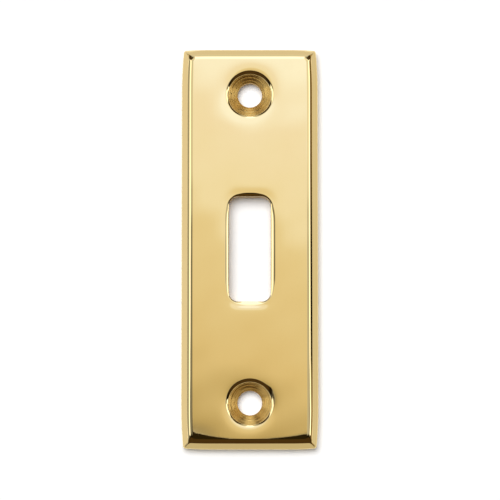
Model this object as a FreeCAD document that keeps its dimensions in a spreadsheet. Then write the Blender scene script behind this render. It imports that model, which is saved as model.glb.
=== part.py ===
import FreeCAD, Part
import enum
import math
import os

import Sketcher

# Door strike plate: one flat bar of brass with bevelled, buffed edges, a slot for the bolt
# in the middle and a countersunk screw hole near each end.
# Millimetres. The plate lies on its back: X across, Y along the length, Z out of the polished face.
# The origin is the middle of the back face.

# Driving dimensions, one row each: name, value, what it measures
DIMENSIONS = (
    ("plate_width", 25.0, "across the widest part of the long sides"),
    ("plate_length", 73.5, "over the two ends"),
    ("plate_thickness", 3.0, "back face to polished face"),
    ("side_taper_length", 8.0, "stretch of a long side that falls away towards its corner"),
    ("side_taper_drop", 0.36, "how far a long side has fallen away at its corner"),
    ("end_taper_length", 5.0, "stretch of an end that falls away towards its corner"),
    ("end_taper_drop", 0.2, "how far an end has fallen away at its corner"),
    ("corner_radius", 0.8, "upright corners of the outline"),
    ("bevel_width", 1.55, "bevel along all four sides, before its blend, at 45 degrees"),
    ("bevel_blend_radius", 1.55, "buffed roll from the bevel into the face"),
    ("back_edge_break", 0.2, "broken edge round the back face"),
    ("slot_width", 7.7, "bolt slot, across the plate"),
    ("slot_length", 19.4, "bolt slot, along the plate"),
    ("slot_corner_radius", 1.7, "upright corners of the slot"),
    ("slot_lip_radius", 0.65, "buffed roll from the face into the slot"),
    ("hole_end_distance", 8.45, "from an end of the plate to the middle of the nearer screw hole"),
    ("hole_diameter", 4.5, "clear bore for a 4 mm screw"),
    ("countersink_diameter", 8.0, "mouth of the countersink, before its roll"),
    ("countersink_angle", 90.0, "full angle of the countersink, degrees"),
    ("hole_lip_radius", 0.8, "buffed roll from the face into the countersink"),
)

SHEET = "Dimensions"
ON_PLANE = 1e-5

# Codes that sketches use: the points of a line or an arc count up from 1, a sketch's own axes down from -1,
# and the origin is the start of the first axis.
START, END, CENTRE = enum.IntEnum("SketchPoint", "START END CENTRE")
X_AXIS, Y_AXIS = range(-1, -3, -1)
ORIGIN = X_AXIS


def make_sheet(doc):
    """Write the driving dimensions into a spreadsheet, one named cell each."""
    sheet = doc.addObject("Spreadsheet::Sheet", SHEET)
    for row, (name, value, meaning) in enumerate(DIMENSIONS, start=1):
        sheet.set(f"A{row}", name)
        sheet.set(f"B{row}", str(value))
        sheet.set(f"C{row}", meaning)
        sheet.setAlias(f"B{row}", name)
    doc.recompute()
    return sheet


def add_sketch(body, name):
    """Add a sketch on the body's own XY plane."""
    sketch = body.newObject("Sketcher::SketchObject", name)
    plane = next(part for part in body.Origin.OriginFeatures if part.Role == "XY_Plane")
    sketch.AttachmentSupport = (plane, "")
    sketch.MapMode = "FlatFace"
    return sketch


def add_dimension(sketch, constraint, name, expression):
    """Add a named dimension to a sketch and tie it to the sheet."""
    index = sketch.addConstraint(constraint)
    sketch.renameConstraint(index, name)
    sketch.setExpression(f"Constraints.{name}", expression)


def edges_where(feature, test):
    """Names of the edges of a feature whose bounding box and curve pass the test."""
    return [f"Edge{number}" for number, edge in enumerate(feature.Shape.Edges, start=1) if test(edge)]


def lies_at(edge, height):
    """True where an edge lies wholly in the level plane at that height."""
    box = edge.BoundBox
    return abs(box.ZMin - height) < ON_PLANE and abs(box.ZMax - height) < ON_PLANE


def stands_upright(edge):
    """True for a straight edge that runs along Z."""
    box = edge.BoundBox
    return box.XLength < ON_PLANE and box.YLength < ON_PLANE and box.ZLength > ON_PLANE


def within(edge, half_x, half_y):
    """True where an edge lies inside a rectangle about the middle of the plate."""
    box = edge.BoundBox
    return max(-box.XMin, box.XMax) <= half_x and max(-box.YMin, box.YMax) <= half_y


def add_dressing(body, kind, name, base, edges, size_property, expression):
    """Add a fillet or chamfer on chosen edges of the feature before it, sized from the sheet."""
    if not edges:
        raise RuntimeError(f"{name} found no edges")
    dressing = body.newObject(kind, name)
    dressing.Base = (base, edges)
    dressing.setExpression(size_property, expression)
    body.Document.recompute()
    return dressing


def outline_sketch(body, sheet):
    """Outline: straight sides and ends that fall away to the corners on long tangent arcs."""
    half_x = sheet.plate_width / 2
    half_y = sheet.plate_length / 2
    side_drop = sheet.side_taper_drop
    end_drop = sheet.end_taper_drop
    side_stop = half_y - sheet.side_taper_length
    end_stop = half_x - sheet.end_taper_length
    corner_x = half_x - side_drop
    corner_y = half_y - end_drop
    side_run = corner_y - side_stop
    end_run = corner_x - end_stop
    side_radius = (side_run**2 + side_drop**2) / (2 * side_drop)
    end_radius = (end_run**2 + end_drop**2) / (2 * end_drop)
    side_sweep = math.asin(side_run / side_radius)
    end_sweep = math.asin(end_run / end_radius)

    sketch = add_sketch(body, "OutlineSketch")
    normal = FreeCAD.Vector(0, 0, 1)

    def line(x0, y0, x1, y1):
        return Part.LineSegment(FreeCAD.Vector(x0, y0, 0), FreeCAD.Vector(x1, y1, 0))

    def arc(x, y, radius, start, stop):
        return Part.ArcOfCircle(Part.Circle(FreeCAD.Vector(x, y, 0), normal, radius), start, stop)

    quarter = math.pi / 2
    right, top, left, bottom = (sketch.addGeometry(side, False) for side in (
        line(half_x, -side_stop, half_x, side_stop),
        line(end_stop, half_y, -end_stop, half_y),
        line(-half_x, side_stop, -half_x, -side_stop),
        line(-end_stop, -half_y, end_stop, -half_y),
    ))
    # Each corner has the arc that ends one straight, then the arc that starts the next, going round
    # to the left.
    side_x = half_x - side_radius
    end_y = half_y - end_radius
    arcs = [sketch.addGeometry(piece, False) for piece in (
        arc(side_x, side_stop, side_radius, 0, side_sweep),
        arc(end_stop, end_y, end_radius, quarter - end_sweep, quarter),
        arc(-end_stop, end_y, end_radius, quarter, quarter + end_sweep),
        arc(-side_x, side_stop, side_radius, 2 * quarter - side_sweep, 2 * quarter),
        arc(-side_x, -side_stop, side_radius, 2 * quarter, 2 * quarter + side_sweep),
        arc(-end_stop, -end_y, end_radius, 3 * quarter - end_sweep, 3 * quarter),
        arc(end_stop, -end_y, end_radius, 3 * quarter, 3 * quarter + end_sweep),
        arc(side_x, -side_stop, side_radius, -side_sweep, 0),
    )]
    straights = (right, top, left, bottom)
    followers = (top, left, bottom, right)
    for straight, leaving, arriving, follower in zip(straights, arcs[0::2], arcs[1::2], followers):
        sketch.addConstraint(Sketcher.Constraint("Tangent", straight, END, leaving, START))
        sketch.addConstraint(Sketcher.Constraint("Coincident", leaving, END, arriving, START))
        sketch.addConstraint(Sketcher.Constraint("Tangent", arriving, END, follower, START))
    for straight, axis in ((right, X_AXIS), (left, X_AXIS), (top, Y_AXIS), (bottom, Y_AXIS)):
        sketch.addConstraint(Sketcher.Constraint("Symmetric", straight, START, straight, END, axis))
    sketch.addConstraint(Sketcher.Constraint("Symmetric", right, END, left, START, Y_AXIS))
    sketch.addConstraint(Sketcher.Constraint("Symmetric", top, END, bottom, START, X_AXIS))
    sketch.addConstraint(Sketcher.Constraint("Symmetric", arcs[0], END, arcs[2], END, Y_AXIS))
    sketch.addConstraint(Sketcher.Constraint("Symmetric", arcs[0], END, arcs[6], END, X_AXIS))
    sketch.addConstraint(Sketcher.Constraint("Symmetric", arcs[2], END, arcs[4], END, X_AXIS))

    def distance_x(first, first_end, second, second_end, size):
        return Sketcher.Constraint("DistanceX", first, first_end, second, second_end, size)

    def distance_y(first, first_end, second, second_end, size):
        return Sketcher.Constraint("DistanceY", first, first_end, second, second_end, size)

    add_dimension(sketch, distance_x(ORIGIN, START, right, END, half_x),
                  "half_width", f"{SHEET}.plate_width / 2")
    add_dimension(sketch, distance_y(ORIGIN, START, top, START, half_y),
                  "half_length", f"{SHEET}.plate_length / 2")
    add_dimension(sketch, distance_y(right, END, top, START, sheet.side_taper_length),
                  "side_taper_length", f"{SHEET}.side_taper_length")
    add_dimension(sketch, distance_x(top, START, right, END, sheet.end_taper_length),
                  "end_taper_length", f"{SHEET}.end_taper_length")
    add_dimension(sketch, distance_x(arcs[0], END, right, END, side_drop),
                  "side_taper_drop", f"{SHEET}.side_taper_drop")
    add_dimension(sketch, distance_y(arcs[0], END, top, START, end_drop),
                  "end_taper_drop", f"{SHEET}.end_taper_drop")
    return sketch


def add_blank(doc, body, sheet):
    """Plate blank with bevelled sides that meet in mitres, then the buffed roll into the face."""
    sketch = outline_sketch(body, sheet)
    doc.recompute()
    pad = body.newObject("PartDesign::Pad", "Blank")
    pad.Profile = sketch
    pad.setExpression("Length", f"{SHEET}.plate_thickness")
    doc.recompute()
    thickness = sheet.plate_thickness
    bevel = add_dressing(body, "PartDesign::Chamfer", "Bevel", pad,
                         edges_where(pad, lambda edge: lies_at(edge, thickness)),
                         "Size", f"{SHEET}.bevel_width")
    blend = add_dressing(body, "PartDesign::Fillet", "BevelBlend", bevel,
                         edges_where(bevel, lambda edge: lies_at(edge, thickness)),
                         "Radius", f"{SHEET}.bevel_blend_radius")
    corners = add_dressing(body, "PartDesign::Fillet", "Corners", blend,
                           edges_where(blend, stands_upright),
                           "Radius", f"{SHEET}.corner_radius")
    return add_dressing(body, "PartDesign::Chamfer", "BackEdge", corners,
                        edges_where(corners, lambda edge: lies_at(edge, 0)),
                        "Size", f"{SHEET}.back_edge_break")


def add_slot(doc, body, sheet):
    """Bolt slot through the plate, its corners rounded and its mouth rolled."""
    half_x = sheet.slot_width / 2
    half_y = sheet.slot_length / 2
    sketch = add_sketch(body, "SlotSketch")
    lower_left = FreeCAD.Vector(-half_x, -half_y, 0)
    lower_right = FreeCAD.Vector(half_x, -half_y, 0)
    upper_right = FreeCAD.Vector(half_x, half_y, 0)
    upper_left = FreeCAD.Vector(-half_x, half_y, 0)
    bottom = sketch.addGeometry(Part.LineSegment(lower_left, lower_right), False)
    right = sketch.addGeometry(Part.LineSegment(lower_right, upper_right), False)
    top = sketch.addGeometry(Part.LineSegment(upper_right, upper_left), False)
    left = sketch.addGeometry(Part.LineSegment(upper_left, lower_left), False)
    for side, follower in ((bottom, right), (right, top), (top, left), (left, bottom)):
        sketch.addConstraint(Sketcher.Constraint("Coincident", side, END, follower, START))
    for level, upright in ((bottom, right), (top, left)):
        sketch.addConstraint(Sketcher.Constraint("Horizontal", level))
        sketch.addConstraint(Sketcher.Constraint("Vertical", upright))
    sketch.addConstraint(Sketcher.Constraint("Symmetric", bottom, START, top, START, ORIGIN, START))
    add_dimension(sketch, Sketcher.Constraint("DistanceX", bottom, START, bottom, END, sheet.slot_width),
                  "slot_width", f"{SHEET}.slot_width")
    add_dimension(sketch, Sketcher.Constraint("DistanceY", right, START, right, END, sheet.slot_length),
                  "slot_length", f"{SHEET}.slot_length")
    doc.recompute()
    pocket = body.newObject("PartDesign::Pocket", "Slot")
    pocket.Profile = sketch
    pocket.Type = "ThroughAll"
    pocket.Midplane = True
    doc.recompute()
    reach_x = half_x + ON_PLANE
    reach_y = half_y + ON_PLANE
    thickness = sheet.plate_thickness
    corners = add_dressing(
        body, "PartDesign::Fillet", "SlotCorners", pocket,
        edges_where(pocket, lambda edge: stands_upright(edge) and within(edge, reach_x, reach_y)),
        "Radius", f"{SHEET}.slot_corner_radius")
    return add_dressing(
        body, "PartDesign::Fillet", "SlotLip", corners,
        edges_where(corners, lambda edge: lies_at(edge, thickness) and within(edge, reach_x, reach_y)),
        "Radius", f"{SHEET}.slot_lip_radius")


def add_screw_holes(doc, body, sheet):
    """Two countersunk screw holes on the long axis, their mouths rolled."""
    radius = sheet.hole_diameter / 2
    spacing = sheet.plate_length - 2 * sheet.hole_end_distance
    sketch = add_sketch(body, "ScrewHoleSketch")
    sketch.setExpression("AttachmentOffset.Base.z", f"{SHEET}.plate_thickness")
    normal = FreeCAD.Vector(0, 0, 1)
    upper = sketch.addGeometry(Part.Circle(FreeCAD.Vector(0, spacing / 2, 0), normal, radius), False)
    lower = sketch.addGeometry(Part.Circle(FreeCAD.Vector(0, -spacing / 2, 0), normal, radius), False)
    sketch.addConstraint(Sketcher.Constraint("PointOnObject", upper, CENTRE, Y_AXIS))
    sketch.addConstraint(Sketcher.Constraint("Symmetric", upper, CENTRE, lower, CENTRE, ORIGIN, START))
    sketch.addConstraint(Sketcher.Constraint("Equal", upper, lower))
    add_dimension(sketch, Sketcher.Constraint("DistanceY", lower, CENTRE, upper, CENTRE, spacing),
                  "hole_spacing", f"{SHEET}.plate_length - 2 * {SHEET}.hole_end_distance")
    add_dimension(sketch, Sketcher.Constraint("Diameter", upper, sheet.hole_diameter),
                  "hole_diameter", f"{SHEET}.hole_diameter")
    doc.recompute()
    hole = body.newObject("PartDesign::Hole", "ScrewHoles")
    hole.Profile = sketch
    hole.DepthType = "ThroughAll"
    hole.HoleCutType = "Countersink"
    hole.HoleCutCustomValues = True
    hole.setExpression("Diameter", f"{SHEET}.hole_diameter")
    hole.setExpression("HoleCutDiameter", f"{SHEET}.countersink_diameter")
    hole.setExpression("HoleCutCountersinkAngle", f"{SHEET}.countersink_angle")
    doc.recompute()
    mouth = sheet.countersink_diameter / 2

    def is_mouth(edge):
        round_edge = isinstance(edge.Curve, Part.Circle) and abs(edge.Curve.Radius - mouth) < 1e-3
        return round_edge and lies_at(edge, sheet.plate_thickness)

    return add_dressing(body, "PartDesign::Fillet", "HoleLips", hole, edges_where(hole, is_mouth),
                        "Radius", f"{SHEET}.hole_lip_radius")


def check(doc, body):
    """Stop before writing anything if a feature failed or the body is not one sound solid."""
    for item in doc.Objects:
        if "Invalid" in item.State or "Error" in item.State:
            raise RuntimeError(f"{item.Name} did not rebuild: {item.State}")
    shape = body.Shape
    if shape.isNull() or not shape.isValid() or len(shape.Solids) != 1:
        raise RuntimeError("the plate is not one sound solid")


def main():
    doc = FreeCAD.newDocument("StrikePlate")
    sheet = make_sheet(doc)
    body = doc.addObject("PartDesign::Body", "StrikePlate")
    body.Label = "strike_plate"
    body.Placement = FreeCAD.Placement()
    add_blank(doc, body, sheet)
    before_slot = body.Shape.Volume
    add_slot(doc, body, sheet)
    before_holes = body.Shape.Volume
    add_screw_holes(doc, body, sheet)
    doc.recompute()
    check(doc, body)
    if not before_slot > before_holes > body.Shape.Volume:
        raise RuntimeError("the slot or the screw holes removed nothing")
    os.makedirs("parts", exist_ok=True)
    body.Shape.exportStep(f"parts/{body.Label}.step")
    print(f"{body.Label}: volume {body.Shape.Volume:.1f} mm3, box {body.Shape.BoundBox}")


main()
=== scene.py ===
"""Polished brass door strike plate, lying on a white sheet under soft studio light."""

import logging
import math
from collections.abc import Sequence
from dataclasses import dataclass, field
from enum import Enum

import bpy
import numpy as np
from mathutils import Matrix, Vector
from numpy.typing import NDArray


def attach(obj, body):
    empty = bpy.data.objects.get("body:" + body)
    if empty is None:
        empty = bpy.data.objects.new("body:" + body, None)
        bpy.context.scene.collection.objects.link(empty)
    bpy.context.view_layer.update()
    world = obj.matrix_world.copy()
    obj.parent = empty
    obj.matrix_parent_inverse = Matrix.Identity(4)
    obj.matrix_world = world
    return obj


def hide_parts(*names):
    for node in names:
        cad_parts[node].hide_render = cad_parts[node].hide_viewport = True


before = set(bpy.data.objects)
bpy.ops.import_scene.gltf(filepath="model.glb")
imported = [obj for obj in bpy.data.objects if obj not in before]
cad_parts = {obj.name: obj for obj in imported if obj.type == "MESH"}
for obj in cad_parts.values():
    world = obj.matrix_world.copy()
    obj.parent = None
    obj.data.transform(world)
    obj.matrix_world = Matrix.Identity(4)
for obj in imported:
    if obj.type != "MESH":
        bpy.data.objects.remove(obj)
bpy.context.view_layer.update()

Array = NDArray[np.float64]
Numbers = NDArray[np.int32]
# Radius, first and last tip in degrees, and number of steps.
Arc = tuple[float, float, float, int]
Socket = bpy.types.NodeSocket
Tree = bpy.types.NodeTree
LOG = logging.getLogger("strike_plate")
MM = 0.001
# Rows of points down the wall of an opening.
WALL_ROWS = 5
# Decimals of a millimetre to which the points that two patches share agree.
WELD_DIGITS = 5
# Width of the camera's sensor, in millimetres.
SENSOR_MM = 36.0
# Noise behind the clouds and behind the finishing marks.
CLOUD_NOISE = {"Detail": 3.0, "Roughness": 0.55}
GRAIN_NOISE = {"Detail": 2.0, "Roughness": 0.5}
# Middle part of the noise, which is spread over the whole range of a finish's roughness.
NOISE_SPAN = {"From Min": 0.3, "From Max": 0.7}
# Share of their spacing by which turning marks wander.
RING_WANDER = 1 / 3


def linear(hex_colour: str) -> tuple[float, float, float, float]:
    """Turn an sRGB hex colour into linear red, green, blue and alpha, by the curve of the sRGB standard.

    Args:
        hex_colour: Six hex digits after a hash, such as "#f2d68c".

    Returns:
        The linear colour with an alpha of 1.
    """
    parts = np.array([int(hex_colour[at:at + 2], 16) for at in (1, 3, 5)]) / 255.0
    low, high = parts / 12.92, ((parts + 0.055) / 1.055) ** 2.4
    red, green, blue = np.where(parts <= 0.04045, low, high)
    return float(red), float(green), float(blue), 1.0


def add_node(tree: Tree, kind: str, settings: dict[str, object] | None = None,
             inputs: dict[str | int, object] | None = None) -> bpy.types.Node:
    """Add one node, set its properties, and fill or link its inputs.

    Args:
        tree: Node tree that takes the node.
        kind: Blender's name for the kind of node.
        settings: Property values by name.
        inputs: Values by input name or number; an output socket is linked instead.

    Returns:
        The new node.
    """
    node = tree.nodes.new(kind)
    for name, value in (settings or {}).items():
        setattr(node, name, value)
    for name, value in (inputs or {}).items():
        if isinstance(value, Socket):
            tree.links.new(value, node.inputs[name])
        else:
            node.inputs[name].default_value = value
    return node


class Zone(Enum):
    """The finishes found on the plate; each value is the place of its material on the mesh."""

    POLISHED = 0
    TURNED = 1
    MILLED = 2
    LINISHED = 3


@dataclass(frozen=True)
class Brass:
    """Yellow brass in one finish, as a metal with its own grain.

    Attributes:
        name: Material name, for the real finish.
        colour: Colour of the clean metal; on the turned finish it is deepened as painted reflection of brass
            in brass.
        tarnish: Slightly deeper colour in the cloudy places.
        roughness: Lowest and highest roughness of the finish.
        cloud_mm: Size of the cloudy places in the finish.
        grain_mm: Spacing of the finishing marks across, along and through the plate.
        grain_depth: Depth given to the marks, in millimetres.
        rings_mm: Spacing of turning marks round the screw holes, or 0 for none.
        smear: How far the turning marks draw reflections out across themselves, from 0 to 1.
    """

    name: str
    colour: str
    tarnish: str
    roughness: tuple[float, float]
    cloud_mm: float
    grain_mm: tuple[float, float, float]
    grain_depth: float
    rings_mm: float = 0.0
    smear: float = 0.0

    def material(self, hole_y: float) -> bpy.types.Material:
        """Make the material.

        The marks are noise drawn out along the direction the tool ran, or rings round each hole: the sine of
        the distance from the nearer hole's axis. They drive bump and roughness. Slow clouds vary the colour.

        Args:
            hole_y: Distance of each screw hole from the middle of the plate, in millimetres.

        Returns:
            The finished material.
        """
        material = bpy.data.materials.new(self.name)
        material.use_nodes = True
        tree = material.node_tree
        tree.nodes.clear()
        place = add_node(tree, "ShaderNodeTexCoord").outputs["Object"]
        in_mm = add_node(tree, "ShaderNodeMapping", inputs={
            "Vector": place, "Scale": (1 / MM,) * 3}).outputs[0]
        cloud = add_node(tree, "ShaderNodeTexNoise", inputs={
            "Vector": in_mm, "Scale": 1 / self.cloud_mm, **CLOUD_NOISE}).outputs["Fac"]
        drawn = add_node(tree, "ShaderNodeMapping", inputs={
            "Vector": in_mm, "Scale": tuple(1 / size for size in self.grain_mm)}).outputs[0]
        grain = add_node(tree, "ShaderNodeTexNoise", inputs={
            "Vector": drawn, "Scale": 1.0, **GRAIN_NOISE}).outputs["Fac"]
        turning = {}
        if self.rings_mm:
            spoke = self.spoke(tree, in_mm, hole_y)
            grain = self.ring_marks(tree, spoke, grain)
            turning = {"Anisotropic": self.smear, "Tangent": spoke}
        base = add_node(tree, "ShaderNodeMix", {"data_type": "RGBA"}, {
            "Factor": cloud, "A": linear(self.colour), "B": linear(self.tarnish)}).outputs["Result"]
        mixed = add_node(tree, "ShaderNodeMix", {"data_type": "FLOAT"}, {
            "Factor": 0.5, "A": cloud, "B": grain}).outputs["Result"]
        rough = add_node(tree, "ShaderNodeMapRange", inputs={
            "Value": mixed, **NOISE_SPAN,
            "To Min": self.roughness[0], "To Max": self.roughness[1]}).outputs["Result"]
        bump = add_node(tree, "ShaderNodeBump", inputs={
            "Height": grain, "Strength": 1.0, "Distance": self.grain_depth * MM}).outputs["Normal"]
        shader = add_node(tree, "ShaderNodeBsdfPrincipled", inputs={
            "Base Color": base, "Metallic": 1.0, "Roughness": rough, "Normal": bump, **turning})
        add_node(tree, "ShaderNodeOutputMaterial", inputs={"Surface": shader.outputs["BSDF"]})
        return material

    @staticmethod
    def spoke(tree: Tree, in_mm: Socket, hole_y: float) -> Socket:
        """Level vector to each place from the axis of the nearer screw hole.

        Args:
            tree: Node tree of the material.
            in_mm: Position in millimetres.
            hole_y: Distance of each screw hole from the middle of the plate, in millimetres.

        Returns:
            The vector in millimetres.
        """
        parts = add_node(tree, "ShaderNodeSeparateXYZ", inputs={0: in_mm}).outputs
        end = add_node(tree, "ShaderNodeMath", {"operation": "SIGN"}, {0: parts["Y"]}).outputs[0]
        off = add_node(tree, "ShaderNodeMath", {"operation": "MULTIPLY_ADD"}, {
            0: end, 1: -hole_y, 2: parts["Y"]}).outputs[0]
        return add_node(tree, "ShaderNodeCombineXYZ", inputs={"X": parts["X"], "Y": off}).outputs[0]

    def ring_marks(self, tree: Tree, spoke: Socket, grain: Socket) -> Socket:
        """Turning marks round a hole, broken up by the grain.

        They are half plus half the sine of the distance from the hole's axis.

        Args:
            tree: Node tree of the material.
            spoke: Vector from the hole's axis, in millimetres.
            grain: Noise that breaks up the rings.

        Returns:
            Height of the marks, from 0 to 1.
        """
        reach = add_node(tree, "ShaderNodeVectorMath", {"operation": "LENGTH"}, {0: spoke}).outputs["Value"]
        wander = add_node(tree, "ShaderNodeMath", {"operation": "MULTIPLY_ADD"}, {
            0: grain, 1: self.rings_mm * RING_WANDER, 2: reach}).outputs[0]
        angle = add_node(tree, "ShaderNodeMath", {"operation": "MULTIPLY"}, {
            0: wander, 1: math.tau / self.rings_mm}).outputs[0]
        wave = add_node(tree, "ShaderNodeMath", {"operation": "SINE"}, {0: angle}).outputs[0]
        height = add_node(tree, "ShaderNodeMapRange", inputs={"Value": wave, "From Min": -1.0})
        return height.outputs["Result"]


# Buffed on a soft wheel with compound: a clear mirror, with faint clouds and hairlines along the plate.
MIRROR_POLISHED_BRASS = Brass(
    "mirror_polished_brass", colour="#f4e0a8", tarnish="#f1d99c", roughness=(0.02, 0.05),
    cloud_mm=9.0, grain_mm=(0.35, 9.0, 9.0), grain_depth=0.0006)
# Cut by a countersink: bright but ringed with turning marks that spread the light round the cone. They are
# drawn coarser than a sharp tool leaves them, so that they show. Its colour and tarnish are deeper and more
# orange than the polished face's. That is painted reflection of light bounced from brass to brass inside the
# cone, under clouds of tone that vary at random.
TURNED_BRASS = Brass(
    "turned_brass", colour="#f2d488", tarnish="#d9ac58", roughness=(0.16, 0.28),
    cloud_mm=1.6, grain_mm=(0.5, 0.5, 0.5), grain_depth=0.007, rings_mm=0.3, smear=0.85)
# Milled or drilled and left: dull straight walls with upright tool marks.
MILLED_BRASS = Brass(
    "milled_brass", colour="#dcc08a", tarnish="#c2a164", roughness=(0.22, 0.38),
    cloud_mm=2.0, grain_mm=(0.18, 0.18, 3.0), grain_depth=0.004)
# Linished on a belt: an even satin back with fine lines along the plate.
LINISHED_BRASS = Brass(
    "linished_brass", colour="#e3c47d", tarnish="#cfab62", roughness=(0.28, 0.46),
    cloud_mm=7.0, grain_mm=(0.12, 14.0, 14.0), grain_depth=0.004)
FINISHES = {Zone.POLISHED: MIRROR_POLISHED_BRASS, Zone.TURNED: TURNED_BRASS,
            Zone.MILLED: MILLED_BRASS, Zone.LINISHED: LINISHED_BRASS}


@dataclass(frozen=True)
class Patch:
    """A grid of points that closes on itself across its rows.

    Attributes:
        points: Points by row and by place round the row, in millimetres.
        zones: Finish of each strip between two rows.
    """

    points: Array
    zones: Numbers

    def quads(self, first: int) -> Numbers:
        """Corner numbers of every quad, counted on from a first number.

        Each quad takes a point, its neighbour round the row, and the same two on the next row.

        Args:
            first: Number of the patch's first point.

        Returns:
            One row of four numbers for each quad.
        """
        rows, around = self.points.shape[:2]
        number = first + np.arange(rows * around).reshape(rows, around)
        ahead = np.roll(number, -1, axis=1)
        return np.stack((number[:-1], ahead[:-1], ahead[1:], number[1:]), axis=-1).reshape(-1, 4)

    def quad_zones(self) -> Numbers:
        """Finish of every quad, in the order of the quads."""
        return np.repeat(self.zones, self.points.shape[1])


def arc_chain(turns: Sequence[Arc]) -> Array:
    """Section line made of arcs that run into each other without a corner.

    An arc of radius R on which the surface tips from an angle a to an angle b moves out by R (sin b - sin a)
    and down by R (cos a - cos b).

    Args:
        turns: Radius, first and last tip in degrees, and number of steps, for each arc in turn.

    Returns:
        How far out and how far down each point lies from the first.
    """
    line = [np.zeros((1, 2))]
    for radius, first, last, steps in turns:
        tip = np.radians(np.linspace(first, last, steps + 1)[1:])
        begin = math.radians(first)
        out = radius * (np.sin(tip) - math.sin(begin))
        down = radius * (math.cos(begin) - np.cos(tip))
        line.append(line[-1][-1] + np.stack((out, down), axis=-1))
    return np.concatenate(line)


def straight(first: Array, last: Array, steps: int) -> Array:
    """Points from a first one up to a last one, which is left out, evenly spaced.

    Args:
        first: First point, or one for each loop.
        last: Last point, or one for each loop.
        steps: Number of points.

    Returns:
        The points, on a new axis before the coordinates.
    """
    share = (np.arange(steps) / steps)[:, None]
    return first[..., None, :] + (last - first)[..., None, :] * share


def flat(across: Array, along: Array) -> Array:
    """Points from their places across and along the plate."""
    return np.stack((across, along), axis=-1)


def quarter_circles(centre: Array, radius: Array, begin: float, steps: int) -> Array:
    """Quarter circles to the left about each loop's corner centre, without their last point.

    Args:
        centre: Corner centre of each loop.
        radius: Corner radius of each loop.
        begin: Angle at which they start, in degrees.
        steps: Number of points.

    Returns:
        Points by loop and by place round the corner.
    """
    angle = np.radians(begin + 90.0 * np.arange(steps) / steps)
    return centre[:, None, :] + radius[:, None, None] * flat(np.cos(angle), np.sin(angle))


def drawn_down(gap: Array, depth: Array | float, reach: float) -> Array:
    """Sink of a buffed face round an opening.

    Outside the lip it is depth times exp(-gap / reach). Inside, depth times one minus exp(gap / reach) is
    added, so that it levels out again.

    Args:
        gap: Distance outside the lip, negative inside.
        depth: Sink at the lip.
        reach: Distance over which it fades.

    Returns:
        Sink at each place.
    """
    inside = 1 - np.exp(np.minimum(gap, 0.0) / reach)
    return depth * (np.exp(-np.maximum(gap, 0.0) / reach) + inside)


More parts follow.
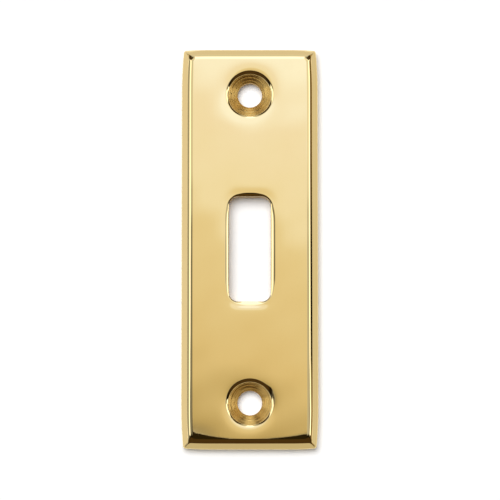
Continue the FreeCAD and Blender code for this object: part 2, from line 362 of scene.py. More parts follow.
@dataclass(frozen=True)
class ScrewHole:
    """A countersunk screw hole with a buffed lip.

    Attributes:
        y: Place along the plate.
        lip_share: Mean share of a full lip, its swing round the hole, and the angle where it is fullest.
        end_dish: Depth and reach of the dish that the wheel left on the side towards the plate's end.
        dish: The same for the dish all round.
        drag: How far the wheel dragged the lip out at one place, its angle and its spread.
        radius: Radius of the bore.
        rim: Radius at which the lip starts.
        lip: Arcs of the lip, from the face inwards.
        cone: Arc of the slightly crowned cone.
        marks: Spacing, height and number of windings of each set of turning marks.
    """

    y: float
    lip_share: tuple[float, float, float]
    end_dish: tuple[float, float]
    dish: tuple[float, float] = (0.015, 1.4)
    drag: tuple[float, float, float] = (0.0, 0.0, 1.0)
    radius: float = 2.25
    rim: float = 4.45
    lip: tuple[Arc, ...] = (
        (0.6, 0.0, 13.0, 6), (2.6, 13.0, 22.0, 12), (0.45, 22.0, 46.0, 6), (0.12, 46.0, 66.0, 4))
    cone: Arc = (16.3, 33.0, 40.0, 52)
    marks: tuple[tuple[float, float, int], ...] = ((0.62, 0.012, 1), (0.41, 0.008, -1), (0.23, 0.003, 2))

    def sink(self, points: Array) -> Array:
        """How far the wheel drew the face down.

        It is the dish all round, and the end's dish times half of one plus the cosine of the angle from it.

        Args:
            points: Places across and along the plate.

        Returns:
            Sink at each place.
        """
        spoke = np.hypot(points[..., 0], points[..., 1] - self.y)
        outward = 0.5 + 0.5 * math.copysign(1.0, self.y) * (points[..., 1] - self.y) / spoke
        depth, reach = self.end_dish
        gap = spoke - self.rim
        return drawn_down(gap, *self.dish) + drawn_down(gap, depth * outward, reach)

    def rings(self, edge: Array, thickness: float) -> tuple[Array, Array, Numbers]:
        """Circles from the lip down the cone and the bore, on the spokes that lead to the edge of its cell.

        The lip is its arcs times its share at each angle. The drag widens it at one angle by a bell curve and
        leaves its foot. The cone runs from the foot to the bore along its arc, and the bore is upright.
        Turning marks are sine waves of the distance from the axis, each wound a few times round it. They
        stand out from the cone at 45 degrees and fade out at its edges by a sine.

        Args:
            edge: Edge points of the hole's cell.
            thickness: Height of the face.

        Returns:
            Points by circle and by place round it, their heights, and the finish of each strip.
        """
        centre = np.array((0.0, self.y))
        spoke = (edge - centre) / np.linalg.norm(edge - centre, axis=1, keepdims=True)
        angle = np.degrees(np.arctan2(spoke[:, 1], spoke[:, 0]))
        lip, cone = arc_chain(self.lip), arc_chain([self.cone])[1:]
        mean, swing, fullest = self.lip_share
        share = mean + swing * np.cos(np.radians(angle - fullest))
        gain, aim, spread = self.drag
        pulled = gain * np.exp(-0.5 * ((angle - aim) / spread) ** 2)
        foot, level = self.rim - lip[-1, 0] * share, thickness - lip[-1, 1] * share
        bottom = thickness - lip[-1, 1] - cone[-1, 1]
        down, fall = cone[:, :1] / cone[-1, 0], cone[:, 1:] / cone[-1, 1]
        reach = foot - (foot - self.radius) * down
        wave = sum(rise * np.sin(math.tau * reach / pitch + winds * np.radians(angle) + self.y)
                   for pitch, rise, winds in self.marks)
        mark = wave * np.sin(math.pi * down) * math.sqrt(0.5)
        wall = np.linspace(1.0, 0.0, WALL_ROWS + 1)[1:, None] * np.full(len(edge), bottom)
        dragged = self.rim + pulled - lip[:, :1] * (share + pulled / lip[-1, 0])
        radius = np.concatenate((dragged, reach - mark, np.full_like(wall, self.radius)))
        height = np.concatenate((
            thickness - lip[:, 1:] * share, level - (level - bottom) * fall + mark, wall))
        kinds = (Zone.POLISHED.value, Zone.TURNED.value, Zone.MILLED.value)
        zones = np.repeat(kinds, (len(lip) - 1, len(cone), len(wall))).astype(np.int32)
        return centre + radius[..., None] * spoke, height, zones


@dataclass(frozen=True)
class BoltSlot:
    """The slot that takes the bolt, with a lip eased by hand.

    Attributes:
        y: Place of its middle along the plate.
        width: Clear width across the plate.
        length: Clear length along the plate.
        corner: Radius of its corners.
        lip: Arcs of the lip, from the face inwards.
        fullness: Share of the lip on the right, upper, left and lower sides.
        corner_fullness: Share of the lip at the corners.
        fading: Power of the sine by which the lip fades towards the corners, on long and on short sides.
        dish: Depth and reach of the dish that the wheel left round it.
        near_dish: The same for the rounding right at the lip, and its share on the upper side.
    """

    y: float = -0.185
    width: float = 7.7
    length: float = 19.28
    corner: float = 1.7
    lip: tuple[Arc, ...] = (
        (2.0, 0.0, 13.8, 12), (3.3, 13.8, 20.5, 9), (1.3, 20.5, 26.5, 5), (0.05, 26.5, 90.0, 6))
    fullness: tuple[float, float, float, float] = (0.9, 0.73, 0.75, 0.75)
    corner_fullness: float = 0.27
    fading: tuple[int, int] = (14, 3)
    dish: tuple[float, float] = (0.013, 1.1)
    near_dish: tuple[float, float, float] = (0.02, 0.3, 0.15)

    def sink(self, points: Array) -> Array:
        """How far the wheel drew the face down, by the distance from the rounded rectangle of the lip.

        Right at the lip it is more along the two short sides, by one minus a square of the distance across.

        Args:
            points: Places across and along the plate.

        Returns:
            Sink at each place.
        """
        past_x = np.maximum(np.abs(points[..., 0]) - self.width / 2 + self.corner, 0.0)
        past_y = np.maximum(np.abs(points[..., 1] - self.y) - self.length / 2 + self.corner, 0.0)
        gap = np.hypot(past_x, past_y) - self.corner - arc_chain(self.lip)[-1, 0]
        depth, reach, upper = self.near_dish
        depth = depth * np.where(points[..., 1] > self.y, upper, 1.0)
        inner = np.clip(1 - (2 * points[..., 0] / self.width) ** 2, 0.0, 1.0)
        return drawn_down(gap, *self.dish) + drawn_down(gap, depth * inner, reach)

    def rings(self, steps: tuple[int, int], thickness: float) -> tuple[Array, Array, Numbers]:
        """Rounded rectangles from the lip down the wall.

        Each of the four sides runs from the middle of one corner to the middle of the next. It is a straight
        line, and past its ends an arc whose angle is the distance past the end over the radius. The lip goes
        from its fullness on a side to its fullness at the corners by a power of a sine.

        Args:
            steps: Number of places on a long and on a short side.
            thickness: Height of the face.

        Returns:
            Points by loop and by place round it, their heights, and the finish of each strip.
        """
        lip = arc_chain(self.lip)
        offset = np.concatenate((lip[-1, 0] - lip[:, 0], np.zeros(WALL_ROWS)))[:, None]
        upright = np.linspace(1.0, 0.0, WALL_ROWS + 1)[1:, None]
        sizes = ((self.width, self.length, steps[0]), (self.length, self.width, steps[1])) * 2
        sides, levels = [], []
        for turn, ((away, along, count), fullness) in enumerate(zip(sizes, self.fullness)):
            reach = along / 2 - self.corner
            share = np.arange(count) / count * 2 - 1
            place = share * (reach + self.corner * math.pi / 4)
            angle = np.sign(place) * np.maximum(np.abs(place) - reach, 0.0) / self.corner
            fade = np.sin(math.pi / 2 * np.abs(share)) ** self.fading[turn % 2]
            full = fullness + (self.corner_fullness - fullness) * fade
            far = self.corner + offset * full
            out = away / 2 - self.corner + far * np.cos(angle)
            on = np.clip(place, -reach, reach) + far * np.sin(angle)
            cosine, sine = round(math.cos(turn * math.pi / 2)), round(math.sin(turn * math.pi / 2))
            sides.append(flat(out * cosine - on * sine, self.y + out * sine + on * cosine))
            level = thickness - lip[:, 1:] * full
            levels.append(np.concatenate((level, level[-1] * upright)))
        kinds = (Zone.POLISHED.value, Zone.MILLED.value)
        zones = np.repeat(kinds, (len(lip) - 1, WALL_ROWS)).astype(np.int32)
        return np.concatenate(sides, axis=1), np.concatenate(levels, axis=1), zones


@dataclass
class StrikePlate:
    """The plate: a bar with bevelled sides, a bolt slot and two countersunk holes, buffed all over its front.

    Sizes are in millimetres. The bar and the bores follow the solid; the rim, the corners, the lips and the
    cones are as the tools and the wheel left them.

    Attributes:
        width, length, thickness: Size of the bar.
        side_taper, end_taper: Length and drop of the easing of the sides and ends towards the corners.
        corner_radii: Inset and corner radius at the outline, along the bevel, on the blend and at the face.
        blend_radius: Radius between the face and the bevel.
        blend_crease: Tip in degrees at which the blend tightens next to the bevel, and its radius from there.
        end_pull: How much further out the face reaches at the ends, where the blend is tighter.
        pull_inset: Inset at which that pull starts; it is full at twice as much.
        bevel_radius, bevel_tips: Crown of the bevel, and its first and last tip in degrees.
        edge_radius, back_radius: Worn outer edge, and broken back edge.
        rim_width: Width of the rim, over which the tapers fade out.
        cut_y: Where the face is cut into one cell for each opening.
        pillow: Drop and reach of the rounding towards the sides and ends.
        arch: Where the face rolls over at the lower end, in the middle, and how much further in at the sides.
        arch_bend: How fast it rolls over, in radians for each millimetre.
        waver: Height of the slow waves that the wheel left.
        waves: Radians for each millimetre across and along, and radians at the middle, of each wave.
        slot, holes: The openings.
        steps: Number of steps along each stretch of the mesh.
    """

    width: float = 25.0
    length: float = 73.5
    thickness: float = 3.0
    side_taper: tuple[float, float] = (8.0, 0.36)
    end_taper: tuple[float, float] = (5.0, 0.2)
    corner_radii: tuple[tuple[float, float], ...] = (
        (0.0, 0.45), (0.3, 0.24), (0.9, 0.24), (1.4, 0.85), (2.1, 0.7))
    blend_radius: float = 1.95
    blend_crease: tuple[float, float] = (32.0, 0.1)
    end_pull: float = 0.18
    pull_inset: float = 1.05
    bevel_radius: float = 25.4
    bevel_tips: tuple[float, float] = (37.5, 40.3)
    edge_radius: float = 0.3
    back_radius: float = 0.2
    rim_width: float = 3.6
    cut_y: float = 17.2
    pillow: tuple[float, float] = (0.008, 2.5)
    arch: tuple[float, float] = (2.03, 1.4)
    arch_bend: float = 0.08
    waver: float = 0.002
    waves: tuple[tuple[float, float, float], ...] = ((0.55, 0.31, 0.7), (-0.42, 0.83, 2.1))
    slot: BoltSlot = BoltSlot()
    holes: dict[str, ScrewHole] = field(default_factory=lambda: {
        "upper": ScrewHole(28.3, lip_share=(0.8, 0.2, 85.0), end_dish=(0.02, 0.5), dish=(0.034, 1.4)),
        "lower": ScrewHole(-28.3, lip_share=(0.8, 0.18, 90.0), end_dish=(0.036, 0.5), drag=(0.32, 33.0, 7.5)),
    })
    steps: dict[str, int] = field(default_factory=lambda: {
        "middle": 76, "upper": 36, "end": 48, "corner": 10, "face": 24, "blend": 26, "crease": 5,
        "bevel": 10, "edge": 10, "side": 5, "back edge": 6, "back": 3})

    def buffed(self, points: Array, height: Array) -> Array:
        """Height after buffing.

        The wheel rounds the face off by a bell curve of the distance to the nearest side or end. At the lower
        end it rolls the face over along an arch, which reaches further in by the square of the distance
        across: the sink is the bend times half the square of the distance past the arch, and a straight slope
        under the bevel. It leaves slow sine waves, and draws the face down round each opening. The section
        sinks in proportion to its height, so that the back stays flat.

        Args:
            points: Places across and along the plate.
            height: Heights before buffing.

        Returns:
            Heights after buffing.
        """
        x, y = points[..., 0], points[..., 1]
        from_side, from_end = self.width / 2 - np.abs(x), self.length / 2 - np.abs(y)
        drop, reach = self.pillow
        sink = drop * (np.exp(-0.5 * (from_side / reach) ** 2) + np.exp(-0.5 * (from_end / reach) ** 2))
        line, rise = self.arch
        further = rise * np.minimum(2 * np.abs(x) / self.width, 1 - 2 * line / self.width) ** 2
        past = np.maximum(line + further - (self.length / 2 + y), 0.0)
        sink += self.arch_bend / 2 * (past**2 - np.maximum(past - further, 0.0) ** 2)
        for across, along, begin in self.waves:
            sink += self.waver * (1 + np.sin(across * x + along * y + begin))
        sink += sum(opening.sink(points) for opening in (self.slot, *self.holes.values()))
        return height - sink * height / self.thickness

    def eased(self, points: Array) -> Array:
        """Draw the sides and ends in towards the corners, by a parabola over the length of each taper.

        The drop fades out evenly over the width of the rim, so the edges of the face stay straight.

        Args:
            points: Places across and along the plate.

        Returns:
            The places after the taper.
        """
        half = np.array((self.width, self.length)) / 2
        rim = np.sign(points) * np.clip(1 - (half - np.abs(points)) / self.rim_width, 0.0, 1.0)
        fall = []
        for axis, (run, drop) in enumerate((self.side_taper, self.end_taper)):
            near = np.clip((np.abs(points[..., 1 - axis]) - half[1 - axis] + run) / run, 0.0, 1.0)
            fall.append(drop * near**2 * rim[..., axis])
        return points - np.stack(fall, axis=-1)

    def outline_loops(self, inset: Array, radius: Array) -> Array:
        """Rounded rectangles inside the outline, as rows of points that go round to the left.

        Every loop runs through the same stretches: straight runs between the corners and the two cuts across
        the plate, and quarter circles at the corners. It starts on the right side at the lower cut.

        Args:
            inset: Distance of each loop inside the outline.
            radius: Corner radius of each loop.

        Returns:
            Points by loop and by place round it.
        """
        pull = self.end_pull * np.clip(inset / self.pull_inset - 1, 0.0, 1.0) ** 2
        a, b = self.width / 2 - inset, self.length / 2 - inset + pull
        c, d = a - radius, b - radius
        cut = np.full_like(a, self.cut_y)
        middle, upper, end, corner = (self.steps[name] for name in ("middle", "upper", "end", "corner"))
        return np.concatenate((
            straight(flat(a, -cut), flat(a, cut), middle),
            straight(flat(a, cut), flat(a, d), upper),
            quarter_circles(flat(c, d), radius, 0.0, corner),
            straight(flat(c, b), flat(-c, b), end),
            quarter_circles(flat(-c, d), radius, 90.0, corner),
            straight(flat(-a, d), flat(-a, cut), upper),
            straight(flat(-a, cut), flat(-a, -cut), middle),
            straight(flat(-a, -cut), flat(-a, -d), upper),
            quarter_circles(flat(-c, -d), radius, 180.0, corner),
            straight(flat(-c, -b), flat(c, -b), end),
            quarter_circles(flat(c, -d), radius, 270.0, corner),
            straight(flat(a, -d), flat(a, -cut), upper),
        ), axis=1)

    def cells(self, loop: Array) -> dict[str, Array]:
        """Split one loop at the two cuts into the closed edges of the hole and slot cells.

        Args:
            loop: Points of one outline loop.

        Returns:
            Edge points of the upper, slot and lower cells.
        """
        middle, end = self.steps["middle"], self.steps["end"]
        half = len(loop) // 2
        upper, lower = loop[middle:half], loop[half + middle:]
        right_up, left_up, left_down, right_down = loop[middle], loop[half], loop[half + middle], loop[0]
        return {
            "upper": np.concatenate((upper, straight(left_up, right_up, end))),
            "slot": np.concatenate((loop[:middle], straight(right_up, left_up, end),
                                    loop[half:half + middle], straight(left_down, right_down, end))),
            "lower": np.concatenate((lower, straight(right_down, left_down, end))),
        }

    def lift(self, loops: Array, height: Array) -> Array:
        """Give loops their heights, then buff and taper them.

        Args:
            loops: Places across and along the plate, by loop.
            height: Heights before buffing, by loop and place.

        Returns:
            Finished points in millimetres.
        """
        level = np.broadcast_to(height, loops.shape[:2])
        return np.concatenate((self.eased(loops), self.buffed(loops, level)[..., None]), axis=-1)

    def rim_section(self) -> tuple[Array, Array]:
        """Section of the rim from the back face round to the front: inset and height of each loop.

        Going out from the face, the blend, its tight crease, the slightly crowned bevel and the worn outer
        edge are arcs that run into each other, down to the upright side. The back edge is a quarter circle.

        Returns:
            Insets and heights, from back to front.
        """
        low, high = self.bevel_tips
        turn, tight = self.blend_crease
        steps = self.steps
        front = arc_chain([
            (self.blend_radius, 0.0, turn, steps["blend"]), (tight, turn, low, steps["crease"]),
            (self.bevel_radius, low, high, steps["bevel"]), (self.edge_radius, high, 90.0, steps["edge"]),
        ])[::-1]
        level = self.thickness - front[:, 1]
        side = np.linspace(self.back_radius, level[0], steps["side"] + 1)[1:-1]
        angle = np.linspace(0.0, math.pi / 2, steps["back edge"] + 1)
        inset = [self.back_radius * (1 - np.sin(angle)), np.zeros_like(side), front[0, 0] - front[:, 0]]
        height = [self.back_radius * (1 - np.cos(angle)), side, level]
        return np.concatenate(inset), np.concatenate(height)

    def fill(self, edge: Array, hole: Array, height: float, zone: Zone) -> Patch:
        """Level patch between the edge of a cell and the opening in it, closer together near both.

        A point lies a share of the way from the edge to the opening, and the shares are half of one minus the
        cosine of even steps through half a turn.

        Args:
            edge: Points that the patch starts from.
            hole: Points that it runs to.
            height: Height of the patch.
            zone: Finish of the patch.

        Returns:
            The patch.
        """
        rows = self.steps["face" if zone is Zone.POLISHED else "back"]
        share = (0.5 - 0.5 * np.cos(np.linspace(0.0, math.pi, rows + 1)))[:, None, None]
        points = self.lift(edge + (hole - edge) * share, np.array(height))
        return Patch(points, np.full(rows, zone.value, np.int32))

    def patches(self) -> list[Patch]:
        """All patches of the plate, from the rim over the face and through the openings to the back.

        Returns:
            The patches, which share their edge points.
        """
        inset, height = self.rim_section()
        radius = np.interp(inset, *zip(*self.corner_radii))
        loops = self.outline_loops(inset, radius)
        zones = np.full(len(inset) - 1, Zone.POLISHED.value, np.int32)
        made = [Patch(self.lift(loops, height[:, None]), zones)]
        front, back = self.cells(loops[-1]), self.cells(loops[0])
        openings = {name: hole.rings(front[name], self.thickness) for name, hole in self.holes.items()}
        openings["slot"] = self.slot.rings((self.steps["middle"], self.steps["end"]), self.thickness)
        for name, (rings, levels, ring_zones) in openings.items():
            made.append(self.fill(front[name], rings[0], self.thickness, Zone.POLISHED))
            made.append(Patch(self.lift(rings, levels), ring_zones))
            made.append(self.fill(rings[-1], back[name], 0.0, Zone.LINISHED))
        return made

    def build(self) -> bpy.types.Object:
        """Join the patches into one closed mesh, welding the points that neighbours share, and dress it.

        Returns:
            The plate's object, with its finishes.
        """
        made = self.patches()
        points = np.concatenate([patch.points.reshape(-1, 3) for patch in made])
        firsts = np.cumsum([0] + [patch.points[..., 0].size for patch in made[:-1]])
        quads = np.concatenate([patch.quads(int(first)) for patch, first in zip(made, firsts)])
        zones = np.concatenate([patch.quad_zones() for patch in made])
        _, kept, same = np.unique(
            np.round(points, WELD_DIGITS), axis=0, return_index=True, return_inverse=True)
        mesh = bpy.data.meshes.new("polished_strike_plate")
        mesh.from_pydata((points[kept] * MM).tolist(), [], same.reshape(-1)[quads].tolist())
        for zone in Zone:
            mesh.materials.append(FINISHES[zone].material(self.holes["upper"].y))
        mesh.polygons.foreach_set("material_index", zones)
        mesh.polygons.foreach_set("use_smooth", np.ones(len(quads), dtype=bool))
        mesh.update()
        plate = bpy.data.objects.new("polished_strike_plate", mesh)
        bpy.context.scene.collection.objects.link(plate)
        return plate


@dataclass(frozen=True)
class Softbox:
    """A soft-edged bright panel in the sky, as a rectangle on a level ceiling one unit up.

    Attributes:
        across: Where it starts and stops across the plate.
        along: Where it starts and stops along the plate.
        soft: Half the width of its soft edges across and along.
        strength: Its brightness, where 1 is white.
        colour: Its colour.
    """

    across: tuple[float, float]
    along: tuple[float, float]
    soft: tuple[float, float]
    strength: float
    colour: str = "#ffffff"


@dataclass
class Studio:
    """White sheet, soft light and camera.

    Attributes:
        tilt: Degrees that the camera leans from upright towards the lower end of the plate.
        distance: Distance of the camera from the plate.
        seen_width: Width of the picture at the plate.
        aim: Point in the middle of the picture.
        clip: Nearest and farthest distance that the camera shows.
        floor_size, floor_drop: Side of the white sheet, and how far it lies below the plate's back.
        sheet_white: White that the sheet shows to the camera and the metal besides the light it gets.
        lamp_strength, lamp_spread: Strength and angular size of the soft lamp over the sheet.
        lamp_way: Direction of the lamp's light.
        sky_on_sheet: Share of the sky's light that reaches the sheet.
        room: Colour of the dim room beyond the panels.
        horizon: Colours of the pale walls near the ground, from the dim side to the bright one.
        horizon_way: Direction of the bright side.
        horizon_height: Where the walls start and stop, as the height of a unit direction.
        ceiling: Places along the plate and colours of the ceiling right above, from the lower end up.
        ceiling_strength: Brightness of the ceiling's colours.
        ceiling_lean: How far the ceiling's bands lean, as a slope.
        ceiling_across, ceiling_along: Where that ceiling starts and stops, and its soft edge.
        lowest: Least height of a unit direction that is carried to the ceiling.
        softboxes: Panels round it.
    """

    tilt: float = 4.8
    distance: float = 0.46
    seen_width: float = 0.09168
    aim: tuple[float, float, float] = (0.00003, -0.00028, 0.0015)
    clip: tuple[float, float] = (0.01, 50.0)
    floor_size: float = 3.0
    floor_drop: float = 0.05 * MM
    sheet_white: float = 0.05
    lamp_strength: float = 3.05
    lamp_spread: float = 50.0
    lamp_way: tuple[float, float, float] = (0.17, -0.32, -1.0)
    sky_on_sheet: float = 0.18
    room: str = "#211a0c"
    horizon: tuple[str, str] = ("#cec6b5", "#e7e0db")
    horizon_way: tuple[float, float, float] = (-0.45, 0.89, 0.0)
    horizon_height: tuple[float, float] = (0.33, 0.25)
    ceiling: tuple[tuple[float, str], ...] = (
        (-0.012, "#211a0c"), (-0.010, "#9b9589"), (0.0, "#8b816a"), (0.008, "#a29576"), (0.036, "#bdb198"),
        (0.088, "#c5beae"), (0.102, "#cecdcd"), (0.138, "#d0cfd6"), (0.160, "#d9e1fa"), (0.250, "#e5e9ff"))
    ceiling_strength: float = 1.6
    ceiling_lean: float = 0.3
    ceiling_across: tuple[float, float, float] = (-0.13, 0.11, 0.02)
    ceiling_along: tuple[float, float, float] = (-0.6, 1.4, 0.2)
    lowest: float = 0.02
    softboxes: tuple[Softbox, ...] = (
        # Past the ceiling's upper end.
        Softbox((-0.2, 0.2), (0.45, 1.4), (0.1, 0.15), 0.4),
        Softbox((-0.6, 0.6), (1.4, 3.4), (0.15, 0.2), 0.75),
        Softbox((-0.36, -0.13), (0.42, 1.3), (0.06, 0.1), 0.5),
        Softbox((0.11, 0.36), (0.42, 1.3), (0.06, 0.1), 0.5),
        # Left of the ceiling, from its edge outwards and down.
        Softbox((-0.51, -0.13), (-0.06, 0.5), (0.02, 0.04), 0.22),
        Softbox((-0.51, -0.13), (0.105, 0.5), (0.02, 0.02), 0.48),
        Softbox((-0.94, -0.51), (0.045, 0.42), (0.05, 0.03), 1.6),
        Softbox((-0.96, -0.6), (-0.12, 0.045), (0.05, 0.03), 1.6),
        Softbox((-2.8, -1.0), (-2.0, 2.0), (0.1, 0.5), 0.38),
        Softbox((-3.0, -2.2), (-0.9, 0.9), (0.1, 0.25), 1.5),
        Softbox((-60.0, -3.0), (-20.0, 20.0), (0.5, 5.0), 0.1),
        # Right of the ceiling, from its edge outwards and down.
        Softbox((0.11, 0.54), (-0.06, 0.5), (0.02, 0.04), 0.54),
        Softbox((0.11, 0.54), (0.105, 0.5), (0.02, 0.02), 0.35),
        Softbox((0.54, 0.78), (-0.06, 0.035), (0.03, 0.02), 0.3),
        Softbox((0.54, 0.87), (0.045, 0.42), (0.04, 0.03), 1.9),
        Softbox((0.76, 1.08), (-0.12, 0.045), (0.04, 0.03), 2.2),
        Softbox((0.95, 2.8), (0.2, 2.0), (0.1, 0.05), 0.2, "#ffd890"),
        Softbox((1.1, 2.8), (-2.0, 0.065), (0.1, 0.025), 0.26, "#ffd890"),
        Softbox((2.2, 3.0), (-0.9, 0.9), (0.1, 0.25), 1.6),
        Softbox((3.0, 60.0), (-20.0, 20.0), (0.5, 5.0), 0.09),
        # Warm glow past the lower end.
        Softbox((-0.7, 0.7), (-3.0, -0.3), (0.2, 0.1), 0.055, "#ffc070"),
        # Fills in the four corners of the room.
        Softbox((-0.8, -0.36), (0.42, 0.8), (0.06, 0.1), 0.05, "#ffc070"),
        Softbox((0.36, 0.8), (0.42, 0.8), (0.06, 0.1), 0.05, "#ffc070"),
        Softbox((-1.9, -0.75), (0.8, 2.2), (0.2, 0.25), 0.3, "#ffe0a8"),
        Softbox((0.75, 1.9), (0.8, 2.2), (0.2, 0.25), 0.3, "#ffe0a8"),
        Softbox((-2.0, -1.35), (1.3, 2.0), (0.12, 0.12), 0.3),
        Softbox((1.35, 2.0), (1.3, 2.0), (0.12, 0.12), 0.3),
        Softbox((-2.0, -0.8), (-2.2, -0.8), (0.25, 0.25), 0.09, "#ffd890"),
        Softbox((0.8, 2.0), (-2.2, -0.8), (0.25, 0.25), 0.09, "#ffd890"),
    )

    def floor(self) -> bpy.types.Object:
        """White sheet under the plate: plain paper, whitened where the camera or the metal looks at it.

        Returns:
            The sheet's object.
        """
        half, level = self.floor_size / 2, -self.floor_drop
        corners = [(-half, -half, level), (half, -half, level), (half, half, level), (-half, half, level)]
        mesh = bpy.data.meshes.new("white_sheet")
        mesh.from_pydata(corners, [], [(0, 1, 2, 3)])
        sheet = bpy.data.objects.new("white_sheet", mesh)
        bpy.context.scene.collection.objects.link(sheet)
        material = bpy.data.materials.new("white_paper")
        material.use_nodes = True
        tree = material.node_tree
        tree.nodes.clear()
        paper = add_node(tree, "ShaderNodeBsdfDiffuse", inputs={"Color": linear("#fdfdfd")}).outputs[0]
        path = add_node(tree, "ShaderNodeLightPath").outputs
        seen = path["Is Camera Ray"]
        for ray in ("Is Glossy Ray", "Is Transmission Ray"):
            seen = add_node(tree, "ShaderNodeMath", {"operation": "ADD"}, {0: seen, 1: path[ray]}).outputs[0]
        share = add_node(tree, "ShaderNodeMapRange", inputs={
            "Value": seen, "To Max": self.sheet_white}).outputs["Result"]
        white = add_node(tree, "ShaderNodeEmission", inputs={
            "Color": linear("#ffffff"), "Strength": share}).outputs[0]
        both = add_node(tree, "ShaderNodeAddShader", inputs={0: paper, 1: white}).outputs[0]
        add_node(tree, "ShaderNodeOutputMaterial", inputs={"Surface": both})
        mesh.materials.append(material)
        return sheet

    def lamp(self) -> bpy.types.Object:
        """Soft lamp up and to the left, for the sheet alone: the metal mirrors the panels instead.

        Returns:
            The lamp's object.
        """
        data = bpy.data.lights.new("soft_lamp", "SUN")
        data.energy = self.lamp_strength
        data.angle = math.radians(self.lamp_spread)
        lamp = bpy.data.objects.new("soft_lamp", data)
        lamp.rotation_euler = Vector(self.lamp_way).to_track_quat("-Z", "Y").to_euler()
        lamp.visible_glossy = False
        bpy.context.scene.collection.objects.link(lamp)
        return lamp

    @staticmethod
    def window(tree: Tree, place: Socket, start: float, stop: float, soft: float) -> Socket:
        """Soft-edged window: a smooth step up at its start times a smooth step down at its stop.

        Args:
            tree: Node tree of the world.
            place: Place along one axis of the ceiling.
            start: Where the window starts.
            stop: Where it stops.
            soft: Half the width of its soft edges.

        Returns:
            1 inside the window and 0 outside.
        """
        rise, fall = (add_node(tree, "ShaderNodeMapRange", {"interpolation_type": "SMOOTHSTEP"}, {
            "Value": place, "From Min": edge - soft * way, "From Max": edge + soft * way}).outputs["Result"]
            for edge, way in ((start, 1.0), (stop, -1.0)))
        return add_node(tree, "ShaderNodeMath", {"operation": "MULTIPLY"}, {0: rise, 1: fall}).outputs[0]

    def overhead(self, tree: Tree, across: Socket, along: Socket) -> tuple[Socket, Socket]:
        """Ceiling right above the plate, which the flat face mirrors: brighter towards the upper end.

        Args:
            tree: Node tree of the world.
            across: Place across the ceiling.
            along: Place along the ceiling.

        Returns:
            Colour of the ceiling, and 1 where it is and 0 elsewhere.
        """
        first, last = self.ceiling[0][0], self.ceiling[-1][0]
        leaning = add_node(tree, "ShaderNodeMath", {"operation": "MULTIPLY_ADD"}, {
            0: across, 1: self.ceiling_lean, 2: along}).outputs[0]
        share = add_node(tree, "ShaderNodeMapRange", inputs={
            "Value": leaning, "From Min": first, "From Max": last}).outputs["Result"]
        ramp = add_node(tree, "ShaderNodeValToRGB", inputs={"Fac": share})
        elements = ramp.color_ramp.elements
        ready = len(elements)
        for number, (place, colour) in enumerate(self.ceiling):
            at = (place - first) / (last - first)
            stop = elements[number] if number < ready else elements.new(at)
            stop.position = at
            stop.color = linear(colour)
        bright = add_node(tree, "ShaderNodeVectorMath", {"operation": "SCALE"}, {
            0: ramp.outputs["Color"], "Scale": self.ceiling_strength}).outputs[0]
        inside = add_node(tree, "ShaderNodeMath", {"operation": "MULTIPLY"}, {
            0: self.window(tree, across, *self.ceiling_across),
            1: self.window(tree, along, *self.ceiling_along)}).outputs[0]
        return bright, inside

    def sky(self) -> bpy.types.World:
        """Dim room with pale walls, a graded ceiling and soft panels.

        A direction is carried to a level ceiling by dividing it by its height. Panels are added on top of the
        room, each its strength times a soft window across and one along.

        Returns:
            The world, set on the scene.
        """
        world = bpy.data.worlds.new("soft_studio")
        world.use_nodes = True
        tree = world.node_tree
        tree.nodes.clear()
        way = add_node(tree, "ShaderNodeTexCoord").outputs["Generated"]
        parts = add_node(tree, "ShaderNodeSeparateXYZ", inputs={0: way}).outputs
        up = add_node(tree, "ShaderNodeMath", {"operation": "MAXIMUM"}, {
            0: parts["Z"], 1: self.lowest}).outputs[0]
        across, along = (add_node(tree, "ShaderNodeMath", {"operation": "DIVIDE"}, {
            0: parts[axis], 1: up}).outputs[0] for axis in ("X", "Y"))
        facing = add_node(tree, "ShaderNodeVectorMath", {"operation": "DOT_PRODUCT"}, {
            0: way, 1: self.horizon_way}).outputs["Value"]
        side = add_node(tree, "ShaderNodeMapRange", inputs={
            "Value": facing, "From Min": -1.0}).outputs["Result"]
        walls = add_node(tree, "ShaderNodeMix", {"data_type": "RGBA"}, {
            "Factor": side, "A": linear(self.horizon[0]), "B": linear(self.horizon[1])}).outputs["Result"]
        start, stop = self.horizon_height
        low = add_node(tree, "ShaderNodeMapRange", {"interpolation_type": "SMOOTHSTEP"}, {
            "Value": parts["Z"], "From Min": start, "From Max": stop}).outputs["Result"]
        light = add_node(tree, "ShaderNodeMix", {"data_type": "RGBA"}, {
            "Factor": low, "A": linear(self.room), "B": walls}).outputs["Result"]
        colour, inside = self.overhead(tree, across, along)
        light = add_node(tree, "ShaderNodeMix", {"data_type": "RGBA"}, {
            "Factor": inside, "A": light, "B": colour}).outputs["Result"]
        for box in self.softboxes:
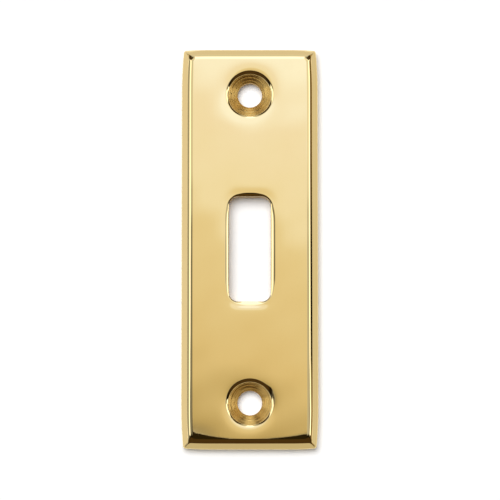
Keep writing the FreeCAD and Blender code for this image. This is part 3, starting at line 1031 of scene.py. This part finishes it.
            glow = add_node(tree, "ShaderNodeMath", {"operation": "MULTIPLY"}, {
                0: self.window(tree, across, *box.across, box.soft[0]),
                1: self.window(tree, along, *box.along, box.soft[1])}).outputs[0]
            shine = tuple(box.strength * part for part in linear(box.colour)[:3])
            panel = add_node(tree, "ShaderNodeVectorMath", {"operation": "SCALE"}, {
                0: shine, "Scale": glow}).outputs[0]
            light = add_node(tree, "ShaderNodeVectorMath", {"operation": "ADD"}, {
                0: light, 1: panel}).outputs[0]
        plain = add_node(tree, "ShaderNodeLightPath").outputs["Is Diffuse Ray"]
        share = add_node(tree, "ShaderNodeMapRange", inputs={
            "Value": plain, "To Min": 1.0, "To Max": self.sky_on_sheet}).outputs["Result"]
        shade = add_node(tree, "ShaderNodeBackground", inputs={"Color": light, "Strength": share}).outputs[0]
        add_node(tree, "ShaderNodeOutputWorld", inputs={"Surface": shade})
        bpy.context.scene.world = world
        return world

    def camera(self) -> bpy.types.Object:
        """Camera almost straight above, a little towards the lower end, at the photograph's width of view.

        Returns:
            The camera, set on the scene.
        """
        data = bpy.data.cameras.new("camera")
        data.sensor_width = SENSOR_MM
        data.lens = SENSOR_MM * self.distance / self.seen_width
        data.clip_start, data.clip_end = self.clip
        camera = bpy.data.objects.new("camera", data)
        tilt = math.radians(self.tilt)
        back = Vector((0.0, -math.sin(tilt), math.cos(tilt)))
        camera.location = Vector(self.aim) + back * self.distance
        camera.rotation_euler = back.to_track_quat("Z", "Y").to_euler()
        bpy.context.scene.collection.objects.link(camera)
        bpy.context.scene.camera = camera
        return camera


def main() -> None:
    """Build the plate and the studio round it."""
    logging.basicConfig(level=logging.INFO, format="%(name)s: %(message)s")
    plate = StrikePlate().build()
    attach(plate, "root")
    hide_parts("strike_plate")
    LOG.info("%s: %d faces", plate.name, len(plate.data.polygons))
    studio = Studio()
    studio.floor()
    studio.sky()
    studio.lamp()
    studio.camera()
    bpy.context.scene.view_settings.view_transform = "Standard"
    LOG.info("studio: floor, sky, lamp and camera")


if __name__ == "__main__":
    main()
